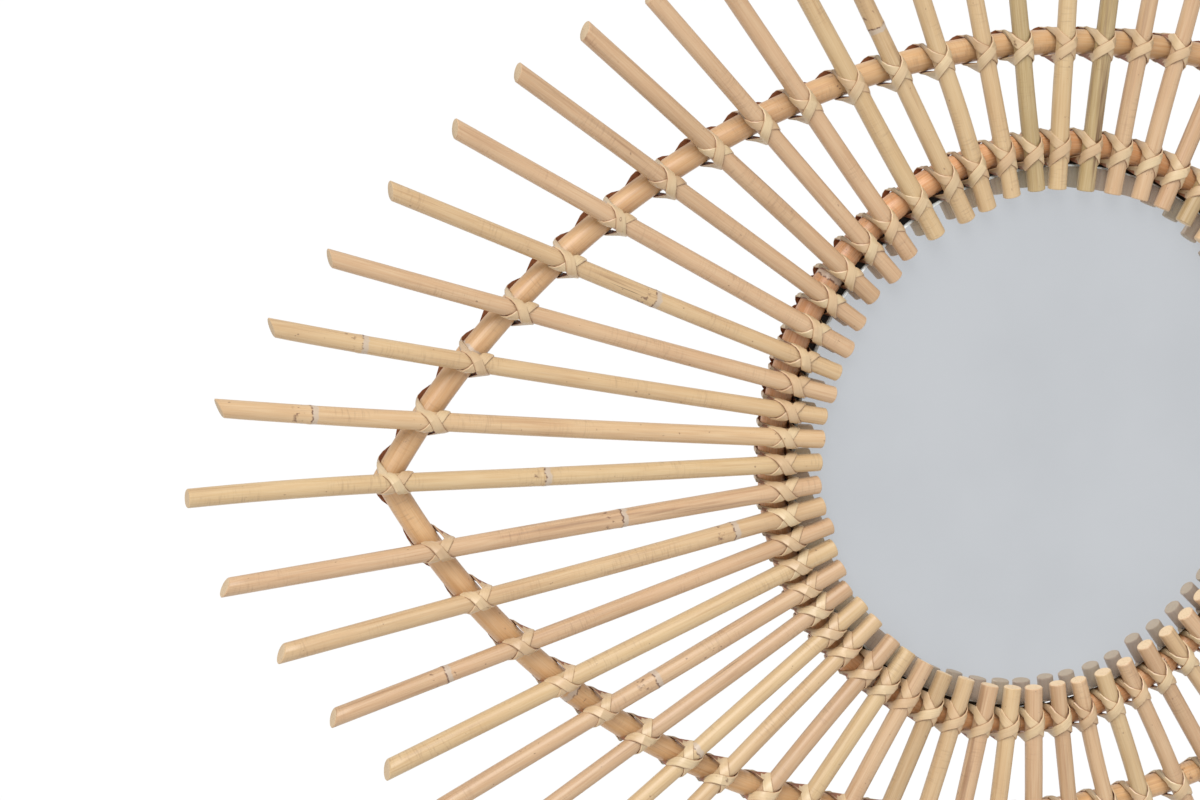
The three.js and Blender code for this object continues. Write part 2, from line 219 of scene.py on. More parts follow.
def placeMatrix(origin, xAxis, yAxis, xScale=1.0, yScale=1.0, shear=0.0):
    # x and y span the outline, and shear tilts it along the strand
    zAxis = xAxis.cross(yAxis).normalized()
    columns = [xAxis * xScale + zAxis * shear * xScale, yAxis * yScale, zAxis * xScale]
    matrix = Matrix.Identity(4)
    for column, vector in enumerate(columns):
        for row in range(3):
            matrix[row][column] = vector[row]
    matrix.translation = origin
    return matrix


def finishPiece(name, bm, materials, nodes=(), sharpAngle=40):
    bmesh.ops.recalc_face_normals(bm, faces=bm.faces)
    mesh = bpy.data.meshes.new(name)
    bm.to_mesh(mesh)
    bm.free()
    mesh.set_sharp_from_angle(angle=math.radians(sharpAngle))
    for material in materials:
        mesh.materials.append(material)
    piece = bpy.data.objects.new(name, mesh)
    bpy.context.scene.collection.objects.link(piece)
    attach(piece, "root")
    if nodes:
        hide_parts(*nodes)


# Materials

def colour(code):
    # sRGB hex to linear
    parts = [int(code[i:i + 2], 16) / 255 for i in (1, 3, 5)]
    linear = [c / 12.92 if c <= 0.04045 else ((c + 0.055) / 1.055) ** 2.4 for c in parts]
    return (*linear, 1.0)


def fillSockets(tree, node, inputs):
    for socket, value in inputs.items():
        if isinstance(value, bpy.types.NodeSocket):
            tree.links.new(value, node.inputs[socket])
        else:
            node.inputs[socket].default_value = value


def addNode(tree, kind, settings=None, inputs=None):
    node = tree.nodes.new(kind)
    for name, value in (settings or {}).items():
        setattr(node, name, value)
    fillSockets(tree, node, inputs or {})
    return node


def newMaterial(name):
    material = bpy.data.materials.new(name)
    material.use_nodes = True
    tree = material.node_tree
    tree.nodes.clear()
    output = tree.nodes.new("ShaderNodeOutputMaterial")
    shader = tree.nodes.new("ShaderNodeBsdfPrincipled")
    tree.links.new(shader.outputs[0], output.inputs[0])
    return material, tree, shader


def attribute(tree, name, output="Vector"):
    return addNode(tree, "ShaderNodeAttribute", {"attribute_name": name}).outputs[output]


def objectPlace(tree):
    return addNode(tree, "ShaderNodeTexCoord").outputs["Object"]


def splitVector(tree, vector):
    return addNode(tree, "ShaderNodeSeparateXYZ", {}, {0: vector}).outputs


def stretched(tree, vector, scale, detail, seed=0.0, roughness=0.5):
    # noise whose cell is 1/scale metres along each axis
    moved = addNode(tree, "ShaderNodeMapping", {}, {
        "Vector": vector, "Location": (seed, seed, seed), "Scale": scale})
    noise = addNode(tree, "ShaderNodeTexNoise", {}, {
        "Vector": moved.outputs[0], "Scale": 1.0, "Detail": detail, "Roughness": roughness})
    return noise.outputs[0]


def spread(tree, value, low, high, outLow=0.0, outHigh=1.0):
    node = addNode(tree, "ShaderNodeMapRange", {"interpolation_type": "SMOOTHSTEP"}, {
        "Value": value, "From Min": low, "From Max": high, "To Min": outLow, "To Max": outHigh})
    return node.outputs[0]


def calc(tree, operation, first, second=0.0):
    return addNode(tree, "ShaderNodeMath", {"operation": operation}, {0: first, 1: second}).outputs[0]


def times(tree, first, second):
    return calc(tree, "MULTIPLY", first, second)


def blendColour(tree, amount, first, second, mode="MIX"):
    settings = {"data_type": "RGBA", "blend_type": mode}
    return addNode(tree, "ShaderNodeMix", settings, {0: amount, 6: first, 7: second}).outputs[2]


def brighten(tree, base, brightness):
    light = addNode(tree, "ShaderNodeCombineColor", {}, {i: brightness for i in range(3)}).outputs[0]
    return blendColour(tree, 1.0, base, light, "MULTIPLY")


def bump(tree, height, strength, distance):
    node = addNode(tree, "ShaderNodeBump", {}, {
        "Strength": strength, "Distance": distance, "Height": height})
    return node.outputs[0]


def ramp(tree, value, stops):
    node = addNode(tree, "ShaderNodeValToRGB", {}, {0: value})
    elements = node.color_ramp.elements
    while len(elements) < len(stops):
        elements.new(0.5)
    for element, (position, code) in zip(elements, stops):
        element.position = position
        element.color = colour(code)
    return node.outputs[0]


rattanLook = {
    "stickTones": (
        (0.0, "#bca076"), (0.3, "#bb9c74"), (0.55, "#ba9875"), (0.8, "#b48f6b"), (1.0, "#a38b5f")),
    "stickClouds": ((0.0, "#b08e62"), (0.5, "#ad8663"), (1.0, "#947c54")),
    "hoopTones": ((0.0, "#c09c70"), (0.5, "#bc9264"), (1.0, "#b07a4e")),
    "hoopClouds": ((0.0, "#b0855a"), (0.5, "#aa7a4e"), (1.0, "#9a663e")),
    "streak": "#b48c68",
    "fibre": "#d2c2a2",
    "stain": "#8f6a4a",
    "crack": "#3d2b1e",
    "scarLine": "#5e3b28",
    "scarBand": "#b3a392",
    "speck": "#644632",
    "cut": "#b9a283",
    "cutPore": "#957556",
    # how strongly each shows
    "clouds": 0.5,
    "streaks": 0.28,
    "fibres": 0.2,
    "cracks": 0.8,
    "ticks": 0.24,
    "specks": 0.6,
    "scarBands": 0.8,
    "scarLines": 0.9,
    "scarSpots": 0.75,
    # a leaf scar in metres outwards from its line: the band behind it, the line and the spots
    "scarRagged": 0.0030,
    "bandFrom": (-0.0030, -0.0022),
    "bandTo": (0.0004, -0.0004),
    "lineHalf": (0.0006, 0.0001),
    "spotsFrom": (0.0025, 0.0045),
    "spotsTo": (0.0095, 0.0065),
    "stickRoughness": 0.48,
    "hoopRoughness": 0.44,
}


def rattanMaterial(name, kind):
    # Rattan pole, skin on, sanded and thinly lacquered: straw to pinkish tan with fine long fibres,
    # faint cross ticks, a few dark specks, and at each old leaf scar a greyish band with a broken line
    material, tree, shader = newMaterial(name)
    look = rattanLook
    roughness = look[kind + "Roughness"]
    grain = attribute(tree, "grain")
    scar = attribute(tree, "scar", "Fac")
    tone, brightness, staining = splitVector(tree, attribute(tree, "tone"))
    base = ramp(tree, tone, look[kind + "Tones"])
    # cloudy change of tone over 40 mm, and streaks 1 mm wide and 30 mm long
    cloudy = stretched(tree, grain, (60, 60, 22), 2, 3.1)
    clouded = spread(tree, cloudy, 0.35, 0.75, 0.0, look["clouds"])
    base = blendColour(tree, clouded, base, ramp(tree, tone, look[kind + "Clouds"]))
    streaks = stretched(tree, grain, (700, 700, 22), 3, 7.7)
    streaked = spread(tree, streaks, 0.5, 0.75, 0.0, look["streaks"])
    base = blendColour(tree, streaked, base, colour(look["streak"]), "MULTIPLY")
    fibres = stretched(tree, grain, (2200, 2200, 60), 2, 1.3)
    fibrous = spread(tree, fibres, 0.35, 0.7, 0.0, look["fibres"])
    base = blendColour(tree, fibrous, base, colour(look["fibre"]))
    # dark lengthwise stains and hair cracks, where the third part of the tone asks for them
    stains = stretched(tree, grain, (230, 230, 9), 4, 11.9, 0.6)
    stained = times(tree, spread(tree, stains, 0.54, 0.72), staining)
    base = blendColour(tree, stained, base, colour(look["stain"]), "MULTIPLY")
    cracks = stretched(tree, grain, (560, 560, 10), 3, 14.2, 0.6)
    crackedSticks = spread(tree, staining, 0.55, 0.8, 0.0, look["cracks"])
    cracked = times(tree, spread(tree, cracks, 0.655, 0.69), crackedSticks)
    base = blendColour(tree, cracked, base, colour(look["crack"]))
    # cross ticks 0.3 mm wide, in patches
    ticks = stretched(tree, grain, (200, 200, 1500), 2, 5.3)
    patches = stretched(tree, grain, (40, 40, 24), 2, 9.1)
    inPatches = spread(tree, patches, 0.46, 0.62, 0.0, look["ticks"])
    ticked = times(tree, spread(tree, ticks, 0.50, 0.72), inPatches)
    base = blendColour(tree, ticked, base, colour(look["speck"]))
    # specks under 1 mm
    specks = stretched(tree, grain, (620, 620, 420), 1, 2.9)
    specked = spread(tree, specks, 0.76, 0.80, 0.0, look["specks"])
    base = blendColour(tree, specked, base, colour(look["speck"]))
    # leaf scars: a ragged greyish band, a broken dark line on its outer side, and spots further out
    ragged = stretched(tree, grain, (420, 420, 120), 3, 4.4)
    away = calc(tree, "ADD", scar, times(tree, calc(tree, "SUBTRACT", ragged, 0.5), look["scarRagged"]))
    band = times(tree, spread(tree, away, *look["bandFrom"]), spread(tree, away, *look["bandTo"]))
    base = blendColour(tree, times(tree, band, look["scarBands"]), base, colour(look["scarBand"]))
    broken = stretched(tree, grain, (520, 520, 200), 2, 16.6)
    onLine = spread(tree, calc(tree, "ABSOLUTE", away), *look["lineHalf"])
    line = times(tree, onLine, spread(tree, broken, 0.38, 0.54))
    base = blendColour(tree, times(tree, line, look["scarLines"]), base, colour(look["scarLine"]))
    spots = stretched(tree, grain, (520, 520, 420), 2, 21.3)
    nearScar = times(tree, spread(tree, scar, *look["spotsFrom"]), spread(tree, scar, *look["spotsTo"]))
    spotted = times(tree, spread(tree, spots, 0.58, 0.68, 0.0, look["scarSpots"]), nearScar)
    base = blendColour(tree, spotted, base, colour(look["scarLine"]))
    base = brighten(tree, base, brightness)
    height = calc(tree, "ADD", times(tree, fibres, 0.6), times(tree, line, -1.5))
    fillSockets(tree, shader, {
        "Base Color": base,
        "Roughness": spread(tree, fibres, 0.3, 0.7, roughness - 0.06, roughness + 0.08),
        "Normal": bump(tree, height, 0.35, 0.00025),
        "IOR": 1.5, "Coat Weight": 0.25, "Coat Roughness": 0.32})
    return material


def cutMaterial():
    # End grain of rattan: paler than the skin, matt, with open pores about 0.4 mm across
    material, tree, shader = newMaterial("rattanEndGrain")
    grain = attribute(tree, "grain")
    cells = addNode(tree, "ShaderNodeTexVoronoi", {}, {"Vector": grain, "Scale": 1500.0})
    pores = spread(tree, cells.outputs["Distance"], 0.32, 0.12)
    base = blendColour(tree, pores, colour(rattanLook["cut"]), colour(rattanLook["cutPore"]))
    fillSockets(tree, shader, {"Base Color": base, "Roughness": 0.75, "IOR": 1.5})
    return material


caneLook = {
    "tones": ((0.0, "#cab48f"), (0.5, "#c4aa85"), (1.0, "#bd9f7b")),
    "fibre": "#a07c58",
    "cloud": "#b59070",
    "scar": "#6d4a36",
    # painted shade: the reddish brown laid on the flat inside and the thin edges of every strap
    "edge": "#8f5a3c",
    "fibres": 0.2,
    "clouds": 0.35,
    "paintedShadeHeight": (0.00030, 0.00006),   # the painted reddish-brown shade fades out this far above the flat inside
}


def caneMaterial():
    # Binding cane, split from the skin: the rounded outside is pale straw and satin with fine long
    # fibres and a few brown scars; the flat inside and the sharp edges get a painted reddish-brown shade
    material, tree, shader = newMaterial("bindingCane")
    look = caneLook
    grain = attribute(tree, "grain")
    tone, brightness, scarring = splitVector(tree, attribute(tree, "tone"))
    base = ramp(tree, tone, look["tones"])
    fibres = stretched(tree, grain, (2600, 900, 90), 2, 1.7)
    fibrous = spread(tree, fibres, 0.35, 0.72, 0.0, look["fibres"])
    base = blendColour(tree, fibrous, base, colour(look["fibre"]))
    clouds = stretched(tree, grain, (160, 160, 60), 2, 6.1)
    clouded = spread(tree, clouds, 0.45, 0.75, 0.0, look["clouds"])
    base = blendColour(tree, clouded, base, colour(look["cloud"]))
    scars = stretched(tree, grain, (420, 420, 260), 3, 8.3, 0.6)
    scarred = times(tree, spread(tree, scars, 0.64, 0.72), scarring)
    base = blendColour(tree, scarred, base, colour(look["scar"]))
    # painted shade: reddish brown at the flat inside and along the edges, fading out upwards through the
    # strap's thickness
    height = splitVector(tree, grain)[1]
    base = blendColour(tree, spread(tree, height, *look["paintedShadeHeight"]), base, colour(look["edge"]))
    fillSockets(tree, shader, {
        "Base Color": brighten(tree, base, brightness), "Roughness": 0.45,
        "Normal": bump(tree, fibres, 0.3, 0.0002), "IOR": 1.5, "Coat Weight": 0.2, "Coat Roughness": 0.28})
    return material


glassLook = {
    "clear": "#bfc2c6",
    "hazy": "#bbbec2",
    "metallic": 0.82,        # less than 1 for a slight milkiness
    "roughness": (0.012, 0.03),
    "edge": "#d5dcdb",
    "edgeMark": "#aab4b2",
}


def glassMaterial():
    # Silvered float glass seen from the front: a clean cool reflection, a little duller than new
    material, tree, shader = newMaterial("silveredGlass")
    haze = stretched(tree, objectPlace(tree), (14, 14, 14), 3, 2.2)
    hazy = spread(tree, haze, 0.3, 0.7)
    fillSockets(tree, shader, {
        "Base Color": blendColour(tree, hazy, colour(glassLook["clear"]), colour(glassLook["hazy"])),
        "Metallic": glassLook["metallic"],
        "Roughness": spread(tree, haze, 0.3, 0.7, *glassLook["roughness"])})
    return material


def glassEdgeMaterial():
    # The ground edge of the glass: pale grey-green and satin, so it catches light as a thin line
    material, tree, shader = newMaterial("groundGlassEdge")
    marks = spread(tree, stretched(tree, objectPlace(tree), (900, 900, 900), 2, 0.4), 0.35, 0.7)
    fillSockets(tree, shader, {
        "Base Color": blendColour(tree, marks, colour(glassLook["edge"]), colour(glassLook["edgeMark"])),
        "Roughness": 0.25, "IOR": 1.52, "Coat Weight": 0.5, "Coat Roughness": 0.05})
    return material


# the board's near-black base is partly painted shade: it darkens the narrow gap seen between the hoop and
# the glass
boardLook = {"base": "#2b231d", "fibre": "#4a3c30", "cloud": "#1d1814"}


def boardMaterial():
    # Fibreboard stained near black, its darkness partly painted shade for the narrow gap between hoop and
    # glass: matt, with fibres about 1 mm across and darker clouds over 30 mm
    material, tree, shader = newMaterial("stainedBoardAndGapShade")
    place = objectPlace(tree)
    fibres = stretched(tree, place, (900, 900, 1400), 3, 0.9)
    clouds = stretched(tree, place, (30, 30, 30), 3, 5.2)
    fibrous = spread(tree, fibres, 0.4, 0.7, 0.0, 0.6)
    base = blendColour(tree, fibrous, colour(boardLook["base"]), colour(boardLook["fibre"]))
    base = blendColour(tree, spread(tree, clouds, 0.4, 0.7, 0.0, 0.4), base, colour(boardLook["cloud"]))
    fillSockets(tree, shader, {
        "Base Color": base, "Roughness": 0.8, "Normal": bump(tree, fibres, 0.3, 0.0002)})
    return material


zincLook = {"bright": "#b9bcbb", "dull": "#9da19f", "roughness": (0.26, 0.42)}


def zincMaterial():
    # Zinc-plated pressed steel: cool grey, soft gloss, with rolling marks about 0.3 mm apart
    material, tree, shader = newMaterial("zincPlatedSteel")
    place = objectPlace(tree)
    lines = stretched(tree, place, (60, 900, 3200), 2, 0.2)
    clouds = stretched(tree, place, (180, 180, 180), 3, 3.3)
    dulled = spread(tree, clouds, 0.35, 0.7)
    base = blendColour(tree, dulled, colour(zincLook["bright"]), colour(zincLook["dull"]))
    fillSockets(tree, shader, {
        "Base Color": base, "Metallic": 1.0,
        "Roughness": spread(tree, lines, 0.3, 0.7, *zincLook["roughness"])})
    return material


stickSkin = rattanMaterial("rattanStickSkin", "stick")
hoopSkin = rattanMaterial("rattanHoopSkin", "hoop")
endGrain = cutMaterial()
cane = caneMaterial()
silver = glassMaterial()
glassEdge = glassEdgeMaterial()
stain = boardMaterial()
zinc = zincMaterial()
print("materials made")


# Sticks

stickShape = {
    "sides": 18,
    "step": 9.0,            # between rings, in millimetres
    "taper": 0.25,          # thinner by this much at one end
    "girths": (0.965, 1.035),
    "bend": 0.25,           # sideways bow between the two ties
    "bendFrom": -0.15,      # where it starts, as a share of the way from tie to tie
    "endLength": 75,        # past the outer tie, where the end's own bend is full
    "skinIn": 0.05,         # the scene's stick is this much slimmer than the CAD one
    "ridge": 0.16,          # how far a leaf scar stands out
    "ridgeWidth": 1.3,
    "waist": 0.06,          # how far the stick narrows behind the scar
    "waistBack": 4,
    "waistWidth": 3,
    "scarRings": (-6, -3, -1.4, 0, 1.4, 3),
    "ringInset": 2,         # the rings of a scar keep this far from the stick's ends
    "slantLength": 1,       # of the outer end, which tilts with the slanted cut
    "scarInset": (30, 15),  # the least distances of a scar from the inner and the outer end
    "scarChance": 0.3,      # of a leaf scar on a stick that the photo doesn't show
    "firstUnseen": 19,
    "lastUnseen": 43,
    "endRound": 0.35,
    "stainOverlap": 1,
    "seed": 100,
    "grainStep": 1.37,      # metres along the grain from stick to stick, so that no two are alike
    "anyBrightness": (0.90, 0.98),   # from and to, on a stick that the photo doesn't show
    "anyStain": (0.1, 0.3),          # mean and deviation
}
# leaf scars that show, by stick: millimetres outwards from the hoop
stickMarks = {
    0: (109,), 1: (212,), 2: (195,), 4: (75,), 11: (77,),
    55: (79,), 57: (78,), 59: (163,), 60: (25,), 61: (75,),
}
# dark streaked lengths that show: from, to and strength
stickStains = {
    3: (128, 142, 0.9), 4: (74, 100, 1.0), 11: (54, 66, 1.6), 13: (-19, -4, 1.1), 16: (0, 60, 1.0),
    56: (20, 60, 0.8),
}
# painted shade: the sticks from 51 on, in the lower half, get a lower brightness to offset the stronger
# light they catch there
# looks of the sticks that show: tone from straw to pinkish tan to khaki, brightness, stains
stickLooks = {
    0: (0.05, 0.98, 0.0), 1: (0.35, 1.03, 0.0), 2: (0.2, 0.99, 0.1), 3: (0.5, 0.99, 0.1),
    4: (0.25, 0.98, 0.1), 5: (0.55, 1.0, 0.2), 6: (0.65, 0.96, 0.5), 7: (0.7, 0.97, 0.6),
    8: (0.6, 0.99, 0.3), 9: (0.65, 1.0, 0.1), 10: (0.05, 0.98, 0.0), 11: (0.15, 0.96, 0.2),
    12: (0.1, 0.98, 0.2), 13: (0.15, 0.99, 0.0), 14: (1.0, 0.99, 0.1), 15: (0.0, 0.97, 0.0),
    16: (1.0, 0.97, 0.9), 17: (0.45, 0.95, 0.3), 18: (0.5, 0.95, 0.2), 51: (0.5, 0.92, 0.3),
    52: (0.0, 0.93, 0.0), 53: (0.7, 0.91, 0.3), 54: (0.25, 0.94, 0.1), 55: (0.05, 0.96, 0.0),
    56: (0.6, 0.91, 0.6), 57: (0.5, 0.93, 0.2), 58: (0.05, 0.96, 0.05), 59: (0.7, 0.95, 0.3),
    60: (0.3, 0.95, 0.2), 61: (0.6, 0.98, 0.5),
}
# shares of the usual thickness
stickGirths = {
    2: 0.96, 3: 0.95, 4: 0.95, 7: 1.04, 10: 1.07, 15: 1.05, 44: 0.94, 45: 0.94, 58: 1.05, 60: 1.03,
}
# sideways, in millimetres: between the ties, and at the outer end
stickBends = {
    0: (0.4, 1.7), 1: (0.3, -0.9), 2: (0.2, -1.1), 3: (0.3, -0.3), 59: (0.3, 0.0), 60: (0.4, 0.0),
}
# the outer end is cut this much further out
stickTrims = {59: -0.6, 61: 2.6}


def scarMarks(stick, chance):
    afterInner, beforeOuter = stickShape["scarInset"]
    place = chance.uniform(stick["innerEnd"] + afterInner, stick["outerEnd"] - beforeOuter)
    unseen = stickShape["firstUnseen"] <= stick["index"] <= stickShape["lastUnseen"]
    if unseen and chance.random() < stickShape["scarChance"]:
        return (place,)
    return stickMarks.get(stick["index"], ())


def scarSwell(distance, marks):
    # a low ring at each leaf scar and a slight waist behind it
    shape, swell = stickShape, 0
    for mark in marks:
        gap = distance - mark
        swell += shape["ridge"] * math.exp(-(gap / shape["ridgeWidth"]) ** 2)
        swell -= shape["waist"] * math.exp(-((gap + shape["waistBack"]) / shape["waistWidth"]) ** 2)
    return swell


def stickStations(stick, marks, chance):
    inner, outer = stick["innerEnd"], stick["outerEnd"] + stickTrims.get(stick["index"], 0)
    anyGirth = chance.uniform(*stickShape["girths"])
    half = fan["stickPole"] / 2 * stickGirths.get(stick["index"], anyGirth)
    rounding, inset = stickShape["endRound"], stickShape["ringInset"]
    distances = {inner, inner + rounding, outer - rounding, outer}
    count = round((outer - inner) / stickShape["step"])
    distances |= {inner + (outer - inner) * i / count for i in range(1, count)}
    for mark in marks:
        distances |= {mark + gap for gap in stickShape["scarRings"]
                      if inner + inset < mark + gap < outer - inset}
    anyBend = (chance.gauss(0, 1) * stickShape["bend"], chance.gauss(0, 1) * stickShape["bend"])
    bendSide, bendEnd = stickBends.get(stick["index"], anyBend)
    # the slanted outer cut, as a tilt of the last rings
    slant = stick["endNormal"].dot(stick["across"]) / stick["endNormal"].dot(stick["along"])
    taperEnd = chance.choice((-1, 1))
    across, stations = direction(stick["across"]), []
    for distance in sorted(distances):
        share = distance / stick["span"]
        bow = math.sin(math.pi * min(max(share, stickShape["bendFrom"]), 1.0))
        pastTie = max(0, distance - stick["span"]) / stickShape["endLength"]
        side = bow * bendSide + bendEnd * pastTie ** 2
        point = stick["ringPoint"] + stick["along"] * distance + stick["across"] * side
        radius = half - stickShape["skinIn"] + scarSwell(distance, marks)
        radius -= stickShape["taper"] * max(0, taperEnd * (share - 0.5)) / 2
        radius -= rounding if distance in (inner, outer) else 0
        shear = -slant if distance > outer - stickShape["slantLength"] else 0
        origin = toFrame(point, fan["stickDepth"])
        # x runs across the stick and y from the viewer to the wall, so z runs outwards
        matrix = placeMatrix(origin, across, -towardsViewer, radius * mm, radius * mm, shear)
        stations.append((matrix, distance * mm))
    return stations


def stickTone(index, chance):
    # the stick's look as a function of the distance along it, since some are stained over a length
    anyLook = (chance.random(), chance.uniform(*stickShape["anyBrightness"]),
               chance.gauss(*stickShape["anyStain"]))
    tone, brightness, stain = stickLooks.get(index, anyLook)
    first, last, strength = stickStains.get(index, (0, 0, 0))
    overlap = stickShape["stainOverlap"]

    def toneAt(distance):
        stained = (first - overlap) * mm < distance < (last + overlap) * mm
        return Vector((tone, brightness, max(0, stain, strength if stained else 0)))

    return toneAt


def makeSticks():
    outline = roundOutline(stickShape["sides"])
    for number in range(stickCount // 2):
        bm = newMesh()
        for stick in sticks[2 * number:2 * number + 2]:
            chance = random.Random(stickShape["seed"] + stick["index"])
            marks = scarMarks(stick, chance)
            tone = stickTone(stick["index"], chance)
            sweep(bm, outline, stickStations(stick, marks, chance), tone,
                  [mark * mm for mark in marks], stickShape["grainStep"] * stick["index"], 1)
        finishPiece(f"sticks_{number + 1:02d}", bm, [stickSkin, endGrain],
                    [f"stick_pair_{number + 1:02d}"])


makeSticks()
print("sticks made")


# The hoop and the bowed poles

poleShape = {
    "sides": 24,
    "step": 5.0,
    "firstScar": (20, 150),  # from the pole's end
    "scarSpacing": (150, 260),
    "ridge": 0.3,
    "ridgeWidth": 2.2,
    "skinIn": 0.15,          # the scene's pole is this much slimmer than the CAD one
    "unevenness": 0.12,
    "waveRates": (0.01, 0.05),
    "jointAngle": -92,       # degrees, where the hoop's ends meet, under a lashing
    "jointGap": 0.1,
    "bowLap": 14,            # how far a bow is made past the tip before it is cut there
    "bowGap": 0.15,          # from the middle line to each cut
}
# tone from straw to orange tan, brightness and stains, the random seed, and metres along the grain
poleLooks = {
    # painted light: the hoop's brightness is raised far above one to lighten the shade that it lies in
    # under the sticks
    "ring": {"tone": (0.9, 1.34, 0.0), "seed": 11, "grain": 90},
    "upper": {"tone": (0.35, 1.03, 0.05), "seed": 21, "grain": 101},
    # painted light: the lower bow is made brighter than the upper one to offset the shade it gets under a
    # light from above
    "lower": {"tone": (0.35, 1.13, 0.05), "seed": 22, "grain": 102},
}


def poleStations(pole, start, finish, marks, chance):
    stations = []
    length = abs(finish - start) * pole["radius"]
    count = round(length / poleShape["step"])
    waves = [(chance.uniform(*poleShape["waveRates"]), chance.uniform(0, 6.28)) for _ in range(3)]
    for i in range(count + 1):
        angle = start + (finish - start) * i / count
        outward = unit(angle)
        distance = length * i / count
        uneven = sum(math.sin(distance * rate + phase) for rate, phase in waves) / 3
        swell = sum(math.exp(-((distance - mark) / poleShape["ridgeWidth"]) ** 2) for mark in marks)
        radius = pole["half"] - poleShape["skinIn"] + poleShape["unevenness"] * uneven
        radius += poleShape["ridge"] * swell
        origin = toFrame(pole["centre"] + outward * pole["radius"], pole["depth"])
        matrix = placeMatrix(origin, direction(outward), towardsViewer, radius * mm, radius * mm)
        stations.append((matrix, distance * mm))
    return stations


def poleMarks(length, chance):
    marks, mark = [], chance.uniform(*poleShape["firstScar"])
    while mark < length:
        marks.append(mark)
        mark += chance.uniform(*poleShape["scarSpacing"])
    return marks


def sweepPole(key, start, finish, length):
    look = poleLooks[key]
    chance = random.Random(look["seed"])
    marks = poleMarks(length, chance)
    stations = poleStations(poles[key], start, finish, marks, chance)
    bm = newMesh()
    sweep(bm, roundOutline(poleShape["sides"]), stations, Vector(look["tone"]),
          [mark * mm for mark in marks], look["grain"], 1)
    return bm


def makeHoop():
    radius = poles["ring"]["radius"]
    start = math.radians(poleShape["jointAngle"])
    gap = poleShape["jointGap"] / radius
    bm = sweepPole("ring", start + gap, start + 2 * math.pi - gap, 2 * math.pi * radius)
    finishPiece("hoop_pole", bm, [hoopSkin, endGrain], ["inner_hoop"])


def makeBow(name, key, side):
    radius = poles[key]["radius"]
    reach = math.asin(tipReach / radius) + poleShape["bowLap"] / radius
    middle = side * math.pi / 2
    bm = sweepPole(key, middle - reach, middle + reach, 2 * reach * radius)
    # both bows are cut flat on the middle line, where they meet
    cut = bmesh.ops.bisect_plane(
        bm, geom=bm.verts[:] + bm.edges[:] + bm.faces[:],
        plane_co=toFrame(Vector((0, side * poleShape["bowGap"])), 0),
        plane_no=(0, 0, -side), clear_outer=True)["geom_cut"]
    rims = [item for item in cut if isinstance(item, bmesh.types.BMEdge)]
    for face in bmesh.ops.edgeloop_fill(bm, edges=rims, mat_nr=1)["faces"]:
        face.smooth = False
    finishPiece(name + "_pole", bm, [hoopSkin, endGrain], [name])


makeHoop()
makeBow("upper_bow", "upper", 1)
makeBow("lower_bow", "lower", -1)
print("hoop and bows made")


# Lashings

caneShape = {
    "width": 4.5,
    "thickness": 1.0,
    "shoulder": (0.86, 0.62),   # the outside's round, as shares of half the width and the thickness
    "sink": 0.15,            # the flat inside presses this far into the stick
    "spread": 5.8,           # along the stick, from the middle of the X to the strap at its side
    "spreadRange": (0.92, 1.06),
    "outerShare": 0.86,      # of the spread, towards the sticks' outer ends
    "innerShare": 1.06,
    "sway": 0.15,
    "sideTurn": 100,         # degrees round the stick before the strap leaves it
    "topTurns": (74, 46, 18),
    "riseFrom": 60,          # degrees at which the over strap starts to climb onto the under strap
    "riseOver": 28,
    "footAcross": 4.3,       # from the stick's centre line to the strap on the pole's inner side
    "outerAcross": 3.3,      # and on its outer side
    # on the pole: degrees behind its side, share of the way to the middle of the gap, lift,
    # degrees that the strap faces behind, and part of its width that isn't twisted away
    "outerFoot": ((4, 0.0, 0.2, 28, 0.5), (42, 0.06, 0.7, 76, 0.55), (58, 0.4, 1.2, 90, 0.7)),
    "looseFoot": ((4, 0.0, 0.3, 28, 0.5), (40, 0.06, 1.2, 76, 0.55), (54, 0.4, 1.6, 90, 0.7)),
    "innerFoot": ((4, 0.0, 0.15, 12, 0.75), (38, 0.08, 0.25, 42, 0.75), (66, 0.35, 0.3, 68, 0.85)),
    "poleLift": 0.25,
    "brightness": (0.91, 0.99),
    "scarChance": 0.1,
    "scarring": (0.1, 0.8),  # of a plain strap and of a scarred one
    "seed": 1000,
    "grainStep": 0.37,
    "overGrain": 0.11,
}


def caneOutline():
    half, thick = caneShape["width"] / 2 * mm, caneShape["thickness"] * mm
    x, y = caneShape["shoulder"][0] * half, caneShape["shoulder"][1] * thick
    shape = ((-half, 0), (-x, y), (0, thick), (x, y), (half, 0))
    return [Vector(point + (0,)) for point in shape]


def onPole(pole, angle, turn, lift, facing, width=1.0):
    # a point behind or beside a bent pole, the way that the strap faces there, and its width
    outward = unit(angle)
    away = direction(outward) * math.cos(turn) - towardsViewer * math.sin(turn)
    centre = toFrame(pole["centre"] + outward * pole["radius"], pole["depth"])
    faces = direction(outward) * math.cos(facing) - towardsViewer * math.sin(facing)
    return centre + away * (pole["half"] + lift) * mm, faces, width


def onStick(origin, stick, along, turn, lift):
    away = direction(stick["across"]) * math.sin(turn) + towardsViewer * math.cos(turn)
    centre = toFrame(origin + stick["along"] * along, fan["stickDepth"])
    return centre + away * (fan["stickPole"] / 2 + lift) * mm, away, 1.0


def poleAngle(pole, point):
    away = point - pole["centre"]
    return math.atan2(away.y, away.x)


def nearAngle(angle, other):
    # other, turned by whole turns to lie next to angle
    return other + 2 * math.pi * round((angle - other) / (2 * math.pi))


